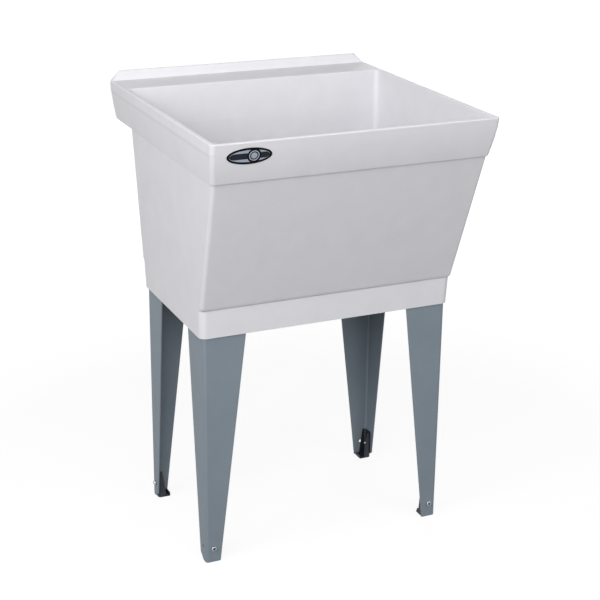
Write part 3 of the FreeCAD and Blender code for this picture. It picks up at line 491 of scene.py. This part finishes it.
def oval_rings(steps, around=96):
    """Oval rings from (inset, height) pairs; None as inset is the middle point."""
    rings = []
    for inset, height in steps:
        if inset is None:
            rings.append([Vector((0.0, 0.0, height))])
            continue
        rings.append([Vector((
            (PLATE_LONG - inset) * math.cos(math.tau * step / around),
            (PLATE_SHORT - inset) * math.sin(math.tau * step / around), height))
            for step in range(around)])
    return rings


def make_name_plate():
    """Blank oval plate: dark rim, pale field, two plain bands and a plain medallion."""
    place = plate_place()
    rim = bmesh.new()
    add_rings(rim, oval_rings([
        (0.0, 0.0), (0.0, 0.5), (0.12, 0.68), (0.4, PLATE_THICK), (PLATE_RIM - 0.4, PLATE_THICK),
        (PLATE_RIM - 0.1, 0.62), (PLATE_RIM, 0.3), (PLATE_RIM, 0.0)]), closed=True)
    make_piece("name_plate_rim", rim, place, FINISHES["name_plate"], "tub",
               ["badge_plate"])

    field = bmesh.new()
    add_rings(field, oval_rings([
        (PLATE_RIM - 0.15, 0.05), (PLATE_RIM - 0.15, 0.34), (PLATE_RIM + 1.5, 0.42),
        (PLATE_RIM + 6.0, 0.48), (None, 0.5)]))
    make_piece("name_plate_field", field, place, PALE_ENAMEL, "tub")

    offset, outer, inner = MEDALLION
    bands = bmesh.new()
    for side in (-1, 1):
        start = offset + side * (outer - 0.6)
        end = side * (PLATE_LONG - PLATE_RIM - 0.4)
        sections = []
        for step in range(BAND_SECTIONS + 1):
            across = start + (end - start) * step / BAND_SECTIONS
            room = (PLATE_SHORT - PLATE_RIM) * math.sqrt(
                max(0.0, 1 - (across / (PLATE_LONG - PLATE_RIM)) ** 2))
            half = min(BAND_HALF, room * 0.85 + 0.05)
            sections.append([Vector((across, up * half, height)) for up, height in (
                (-1.0, 0.3), (-1.0, 0.54), (-0.93, BAND_FACE), (0.93, BAND_FACE),
                (1.0, 0.54), (1.0, 0.3))])
        add_bar(bands, sections)
    make_piece("name_plate_bands", bands, place, BAND_ENAMEL, "tub")

    shift = place @ Matrix.Translation((offset * MM, 0.0, 0.0))
    ring = bmesh.new()
    add_rings(ring, turned_rings([
        (outer, 0.2), (outer, 0.62), (outer - 0.3, RING_FACE), (inner + 0.3, RING_FACE),
        (inner, 0.62), (inner, 0.2)]), closed=True)
    make_piece("name_plate_ring", ring, shift, FINISHES["name_plate"], "tub")
    disc = bmesh.new()
    add_rings(disc, turned_rings([
        (inner + 0.1, 0.2), (inner + 0.1, 0.5), (inner - 0.9, 0.6), (inner - 1.6, 0.58)]))
    make_piece("name_plate_disc_edge", disc, shift, WHITE_ENAMEL, "tub")
    groove = bmesh.new()
    add_rings(groove, turned_rings([(inner - 1.55, 0.3), (inner - 1.55, 0.54),
                                    (inner - 4.05, 0.54), (inner - 4.05, 0.3)]))
    make_piece("name_plate_groove", groove, shift, BAND_ENAMEL, "tub")
    middle = bmesh.new()
    add_rings(middle, turned_rings([(inner - 4.0, 0.3), (inner - 4.0, 0.6),
                                    (inner - 4.3, 0.66), (3.0, 0.71), (0, 0.72)]))
    make_piece("name_plate_disc", middle, shift, PALE_ENAMEL, "tub")


make_name_plate()


# ---------------------------------------------------------------- clamp screws and nuts

SCREW_RADIUS, SCREW_PITCH, SCREW_THREAD = 3.0, 1.0, 0.5
HEAD_RADIUS, HEAD_HEIGHT = 5.4, 5.0
DOME_RADIUS, DOME_ROWS = 4.5, 18
NUT_FLATS = 10.0

# Cross slot in the screw's head: half width, length of an arm and depth in the middle.
SLOT_HALF, SLOT_ARM, SLOT_DEPTH = 1.3, 3.9, 3.1

# How far each screw has been turned in.
TWISTS = (0.35, 0.6, 1.1, 0.2)


def clamp_place(node):
    """Local Z along a screw or nut, towards the inside of its leg, and its two ends."""
    low, high = (Vector(corner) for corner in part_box(node))
    middle = (low + high) / 2
    if "front" in node:
        inward, start, length = Vector((0.0, 1.0, 0.0)), low.y, high.y - low.y
        begin = Vector((middle.x, start, middle.z))
    else:
        side = -math.copysign(1.0, middle.x)
        inward, length = Vector((side, 0.0, 0.0)), high.x - low.x
        begin = Vector((low.x if side > 0 else high.x, middle.y, middle.z))
    upward = Vector((0.0, 0.0, 1.0))
    across = upward.cross(inward)
    turn = Matrix((across, upward, inward)).transposed().to_4x4()
    return Matrix.Translation(begin) @ turn, length / MM


def cross_recess(point, twist):
    """Depth of the tapered cross slot in a screw head."""
    x, y = Matrix.Rotation(twist, 2) @ point.xy
    reach = math.hypot(x, y)
    arm = min(abs(x), abs(y))
    half_width = SLOT_HALF - 0.15 * reach
    wall = min(1.0, max(0.0, (half_width - arm) / 0.3 + 0.5))
    end = min(1.0, max(0.0, (SLOT_ARM - reach) / 0.35))
    return wall * end * (SLOT_DEPTH - 0.35 * reach)


def make_clamp_piece(node, form, place):
    make_piece(f"clamp_{node[len('leveller_'):]}", form, place, FINISHES["zinc_steel"], "tub",
               [node])


def make_screw(node, twist):
    """Domed screw with a cross slot in its head and a turned thread."""
    place, length = clamp_place(node)
    form = bmesh.new()
    head = []
    for step in range(DOME_ROWS + 1):
        radius = DOME_RADIUS * step / DOME_ROWS
        head.append((radius, 0.05 + 0.62 * (radius / DOME_RADIUS) ** 2.4))
    rings = turned_rings(head)
    for ring in rings:
        for point in ring:
            point.z += cross_recess(point, twist)
    edge = [(4.95, 1.1), (5.25, 1.75), (HEAD_RADIUS, 2.6), (HEAD_RADIUS, HEAD_HEIGHT - 0.4),
            (HEAD_RADIUS - 0.3, HEAD_HEIGHT - 0.03), (SCREW_RADIUS + 0.05, HEAD_HEIGHT - 0.03)]
    rings += turned_rings(edge)
    rings += thread_rings(SCREW_RADIUS, SCREW_THREAD, SCREW_PITCH, HEAD_HEIGHT + 0.3, length - 0.7)
    rings += turned_rings([(SCREW_RADIUS - 0.6, length), (0, length)])

    # Depth in the cross slot, which the finish turns into painted shade.
    def painted_recess_shade(point):
        if point.z > HEAD_HEIGHT - 1:
            return 0.0
        return min(1.0, max(0.0, cross_recess(point, twist) * 1.2 - 0.3))
    add_rings(form, rings, hollow=painted_recess_shade)
    make_clamp_piece(node, form, place)


def hexagon_reach(flats, turn=0.0):
    """Limits a radius to the sides of a hexagon."""
    def reach(angle, radius):
        within = (angle + turn + math.pi / 6) % (math.pi / 3) - math.pi / 6
        return min(radius, flats / 2 / math.cos(within))
    return reach


def chamfered_hexagon(flats, bore, low, high, turn=0.0):
    """Closed outline rings of a hexagon nut with both faces chamfered to a circle."""
    corner = flats / math.sqrt(3)
    start = flats / 2 * 0.97
    slope, edge = 0.55, 0.5
    chamfer = [(corner - start) * share for share in (0.0, 0.5, 1.0)]
    outline = [(bore + edge, low), *((start + wide, low + wide * slope) for wide in chamfer),
               *((start + wide, high - wide * slope) for wide in reversed(chamfer)),
               (bore + edge, high), (bore, high - edge), (bore, low + edge)]
    hexagon = hexagon_reach(flats, turn)

    def reach(angle, radius):
        return hexagon(angle, radius) if radius > bore + edge else radius
    return turned_rings(outline, reach, around=72)


def make_nut(node):
    place, length = clamp_place(node)
    form = bmesh.new()
    add_rings(form, chamfered_hexagon(NUT_FLATS, SCREW_RADIUS + 0.05, 0.0, length, math.pi / 6),
              closed=True)
    make_clamp_piece(node, form, place)


for corner, twist in zip(CORNERS, TWISTS):
    make_screw(f"leveller_screw_{corner}", twist)
    make_nut(f"leveller_nut_{corner}")


# ---------------------------------------------------------------- drain and stopper

SHANK_RADIUS, SHANK_PITCH, SHANK_THREAD, SHANK_TOP = 23.5, 2.2, 0.9, 30.0
BORE_RADIUS = 20.0
FLANGE_RADIUS, FLANGE_THICK = 39.0, 2.5
SEAT_RADIUS, SEAT_FOOT_RADIUS, SEAT_DEPTH = 24.0, 21.0, 8.0
BAR_WIDTH, BAR_FOOT, BAR_HEAD, BAR_SECTIONS = 3.0, 13.0, 18.0, 6

THREAD_GAP = 0.2
LUG_RADIUS, LUG_DEPTH, LUG_COUNT = 34.0, 3.0, 8
LUG_HALF_ANGLE, LUG_FLANK_ANGLE = math.radians(8.6), math.radians(3.2)
COUPLING_FLATS, COUPLING_COLLAR, TUBE_HOLE_RADIUS = 54.0, 26.2, 19.25
STOPPER_RADIUS = 23.69


def upright_place(node):
    """Middle of the node's foot, and its height in millimetres."""
    low, high = (Vector(corner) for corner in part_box(node))
    foot = Vector(((low.x + high.x) / 2, (low.y + high.y) / 2, low.z))
    return Matrix.Translation(foot), (high.z - low.z) / MM


def strainer_bar(length, width, low, high, turn):
    """Sections of a strainer bar with a rounded top, laid across the bore."""
    half = width / 2
    outline = [(-half, low + 0.3), (-half, high - 1.1), (-half * 0.8, high - 0.4),
               (-half * 0.35, high), (half * 0.35, high), (half * 0.8, high - 0.4),
               (half, high - 1.1), (half, low + 0.3), (half - 0.3, low), (0.3 - half, low)]
    spin = Matrix.Rotation(turn, 3, "Z")
    return [[spin @ Vector((length * (step / BAR_SECTIONS - 0.5), across, height))
             for across, height in outline] for step in range(BAR_SECTIONS + 1)]


def make_drain_body():
    """Flanged strainer: rolled rim, tapered seat, threaded shank and crossed bars."""
    place, top = upright_place("drain_body")
    form = bmesh.new()
    foot = turned_rings([(BORE_RADIUS, 0.5), (BORE_RADIUS + 0.5, 0.0), (SHANK_RADIUS - 1.0, 0.0)])
    thread = thread_rings(SHANK_RADIUS, SHANK_THREAD, SHANK_PITCH, 0.4, SHANK_TOP, rows=6)
    flange = turned_rings(rounded([
        (SHANK_RADIUS - 0.4, SHANK_TOP + 0.6), (SHANK_RADIUS - 0.4, top - FLANGE_THICK),
        (FLANGE_RADIUS, top - FLANGE_THICK), (FLANGE_RADIUS, top - 0.9),
        (FLANGE_RADIUS - 2.6, top), (SEAT_RADIUS + 2.4, top), (SEAT_RADIUS, top - 0.9),
        (SEAT_FOOT_RADIUS, top - SEAT_DEPTH), (BORE_RADIUS, top - SEAT_DEPTH - 0.4),
        (BORE_RADIUS, top - 14.0)], 0.8))
    add_rings(form, foot + thread + flange, closed=True)
    for turn, drop in ((0.0, 0.0), (math.pi / 2, 0.02)):
        sections = strainer_bar(2 * BORE_RADIUS + 0.6, BAR_WIDTH, BAR_FOOT + drop,
                                BAR_HEAD - drop, turn)
        add_bar(form, sections)
    make_piece("drain_strainer", form, place, FINISHES["drain_steel"], "tub",
               ["drain_body"])


def lug_reach(angle, radius):
    """Outside of the locknut: eight rounded lugs standing out of a ring."""
    share = math.tau / LUG_COUNT
    within = abs((angle + share / 2) % share - share / 2)
    side = min(1.0, max(0.0, (LUG_HALF_ANGLE - within) / LUG_FLANK_ANGLE))
    rise = side * side * (3 - 2 * side)
    return radius - LUG_DEPTH * (1 - rise) if radius > LUG_RADIUS - LUG_DEPTH - 1 else radius


def make_locknut():
    """Ring nut with eight lugs and rolled edges."""
    place, height = upright_place("drain_locknut")
    form = bmesh.new()
    bore = SHANK_RADIUS + THREAD_GAP
    outline = [(bore, 0.9), (bore + 0.9, 0.0), (LUG_RADIUS - 1.4, 0.0), (LUG_RADIUS - 0.4, 0.35),
               (LUG_RADIUS, 1.3), (LUG_RADIUS, height - 1.3), (LUG_RADIUS - 0.4, height - 0.35),
               (LUG_RADIUS - 1.4, height), (bore + 0.9, height), (bore, height - 0.9)]
    add_rings(form, turned_rings(outline, lug_reach, around=128), closed=True)
    make_piece("drain_lug_nut", form, place, FINISHES["nut_plastic"], "tub",
               ["drain_locknut"])


def make_coupling_nut():
    """Hexagon slip nut: chamfered hexagon over a round grip collar."""
    place, height = upright_place("tailpiece_nut")
    form = bmesh.new()
    flat, corner = COUPLING_FLATS / 2, COUPLING_FLATS / math.sqrt(3)
    hexagon = hexagon_reach(COUPLING_FLATS)
    tube, thread, collar = TUBE_HOLE_RADIUS, SHANK_RADIUS + THREAD_GAP, COUPLING_COLLAR
    outline = [(tube, 0.4), (tube + 0.5, 0.0), (collar - 2.0, 0.0), (collar - 0.6, 0.5),
               (collar, 1.4), (collar, 2.4), (flat * 0.985, 2.9)]
    outline += [(flat + (corner - flat) * share, 3.1 + 1.6 * share) for share in (0.4, 1.0)]
    outline += [(flat + (corner - flat) * share, height - 2.0 * share) for share in (1.0, 0.4)]
    outline += [(flat * 0.96, height), (thread + 0.8, height), (thread, height - 0.8),
                (thread, 3.6), (tube, 3.0)]

    def reach(angle, radius):
        return hexagon(angle, radius) if radius > collar + 0.1 else radius
    add_rings(form, turned_rings(outline, reach, around=96), closed=True)
    make_piece("slip_nut", form, place, FINISHES["nut_plastic"], "tub",
               ["tailpiece_nut"])


def make_stopper():
    """Rubber plug: tapered skirt, dished crown with a bead, and a mushroom pull."""
    place, height = upright_place("stopper")
    form = bmesh.new()
    outline = rounded([
        (0, 1.4), (14.0, 1.4), (16.0, 0.0), (20.4, 0.0), (22.6, 5.6), (23.2, 6.2),
        (STOPPER_RADIUS, 7.9), (STOPPER_RADIUS, 9.2), (22.6, 9.7), (20.6, 9.7), (19.4, 9.0),
        (7.6, 9.0), (4.7, 10.4), (4.4, 12.4), (4.6, 15.0), (6.4, 16.2), (8.6, 16.6), (9.0, 17.6),
        (8.9, 20.0), (7.2, 21.8), (4.2, height), (2.6, height - 0.5), (0, height - 0.7)], 0.9, 4)
    add_rings(form, turned_rings(outline, around=96))
    make_piece("stopper_plug", form, place, FINISHES["stopper_rubber"], "stopper",
               ["stopper"])


make_drain_body()
make_locknut()
make_coupling_nut()
make_stopper()


# ---------------------------------------------------------------- stage, light and camera

FLOOR_SIZE = 30.0
FLOOR_BOUNCE, FLOOR_SEEN = (0.2, 0.2, 0.2, 1.0), (0.16, 0.16, 0.16, 1.0)

# The floor's own white is a little lower up to the near distance, so that the object's
# shadow shows there, and rises to full white at the far one.
SHADOW_NEAR, SHADOW_FAR, WHITE_NEAR = 0.8, 2.2, 0.86

WORLD_WHITE = (1.0, 1.0, 1.0, 1.0)
WORLD_LIGHT = 0.29

# Each soft lamp's place and power; all are as large and look at the same point.
LAMP_SIZE = 1.6
LAMP_AIM = (0.0, 0.0, 0.6)
LAMPS = {
    "left_softbox": ((-2.6, -0.9, 1.9), 41.0),
    "front_softbox": ((-1.6, -2.4, 2.3), 41.0),
    "top_softbox": ((0.2, -2.0, 3.2), 16.0),
    "right_softbox": ((1.8, -2.2, 1.6), 13.5),
    "low_softbox": ((-0.6, -3.0, 1.2), 11.0),
    "rear_softbox": ((1.9, 2.8, 0.7), 34.0),
}

CAMERA_PLACE = (-1.1522, -2.5922, 1.5238)
CAMERA_TURN, CAMERA_TILT, CAMERA_ROLL = 24.23, 20.28, 0.64
CAMERA_LENS, CAMERA_SENSOR = 86.99, 36.0


def seen_directly(tree):
    """1 for rays from the camera, off a gloss or through glass, and 0 for others."""
    path = tree.add("ShaderNodeLightPath")
    return tree.math("MAXIMUM", path.outputs["Is Camera Ray"], tree.math(
        "MAXIMUM", path.outputs["Is Glossy Ray"], path.outputs["Is Transmission Ray"]))


def make_floor():
    """Plain white floor that keeps the object's shadow."""
    bpy.ops.mesh.primitive_plane_add(size=FLOOR_SIZE)
    floor = bpy.context.object
    floor.name = "studio_floor"
    material = bpy.data.materials.new("studio_floor")
    material.use_nodes = True
    tree = Tree(material.node_tree)
    tree.tree.nodes.clear()
    seen = seen_directly(tree)
    lit = tree.add("ShaderNodeBsdfDiffuse")
    tree.join(tree.mix(seen, FLOOR_BOUNCE, FLOOR_SEEN), lit.inputs["Color"])
    away = tree.add("ShaderNodeVectorMath", operation="LENGTH")
    tree.join(tree.place(), away.inputs[0])
    white = tree.add("ShaderNodeEmission")
    level = tree.spread(away.outputs["Value"], SHADOW_NEAR, SHADOW_FAR, WHITE_NEAR, 1.0)
    tree.join(tree.math("MULTIPLY", seen, level), white.inputs["Strength"])
    both = tree.add("ShaderNodeAddShader")
    tree.join(lit.outputs[0], both.inputs[0])
    tree.join(white.outputs[0], both.inputs[1])
    tree.join(both.outputs[0], tree.add("ShaderNodeOutputMaterial").inputs["Surface"])
    floor.data.materials.append(material)


def make_world():
    """Soft light from all around, and plain white behind the object."""
    world = bpy.data.worlds.new("studio")
    bpy.context.scene.world = world
    world.use_nodes = True
    tree = Tree(world.node_tree)
    tree.tree.nodes.clear()
    seen = seen_directly(tree)
    around = tree.add("ShaderNodeBackground")
    around.inputs["Color"].default_value = WORLD_WHITE
    around.inputs["Strength"].default_value = WORLD_LIGHT
    behind = tree.add("ShaderNodeBackground")
    behind.inputs["Color"].default_value = WORLD_WHITE
    behind.inputs["Strength"].default_value = 1.0
    choose = tree.add("ShaderNodeMixShader")
    tree.join(seen, choose.inputs[0])
    tree.join(around.outputs[0], choose.inputs[1])
    tree.join(behind.outputs[0], choose.inputs[2])
    tree.join(choose.outputs[0], tree.add("ShaderNodeOutputWorld").inputs["Surface"])


def make_lamp(name, place, power):
    lamp = bpy.data.lights.new(name, "AREA")
    lamp.size = LAMP_SIZE
    lamp.energy = power
    holder = bpy.data.objects.new(name, lamp)
    holder.location = place
    towards = Vector(LAMP_AIM) - Vector(place)
    holder.rotation_euler = towards.to_track_quat("-Z", "Y").to_euler()
    bpy.context.scene.collection.objects.link(holder)


def make_camera():
    """Camera in front, to the left and above, turned and tilted by its angles."""
    turn, tilt, roll = (math.radians(angle) for angle in (CAMERA_TURN, CAMERA_TILT, CAMERA_ROLL))
    lens = bpy.data.cameras.new("camera")
    lens.sensor_width = CAMERA_SENSOR
    lens.lens = CAMERA_LENS
    lens.clip_end = 60.0
    camera = bpy.data.objects.new("camera", lens)
    upright = Matrix.Rotation(-turn, 4, "Z") @ Matrix.Rotation(math.radians(90) - tilt, 4, "X")
    camera.matrix_world = (Matrix.Translation(CAMERA_PLACE) @ upright
                           @ Matrix.Rotation(roll, 4, "Z"))
    bpy.context.scene.collection.objects.link(camera)
    bpy.context.scene.camera = camera


make_floor()
make_world()
for name, (place, power) in LAMPS.items():
    make_lamp(name, place, power)
make_camera()
bpy.context.scene.view_settings.view_transform = "Standard"
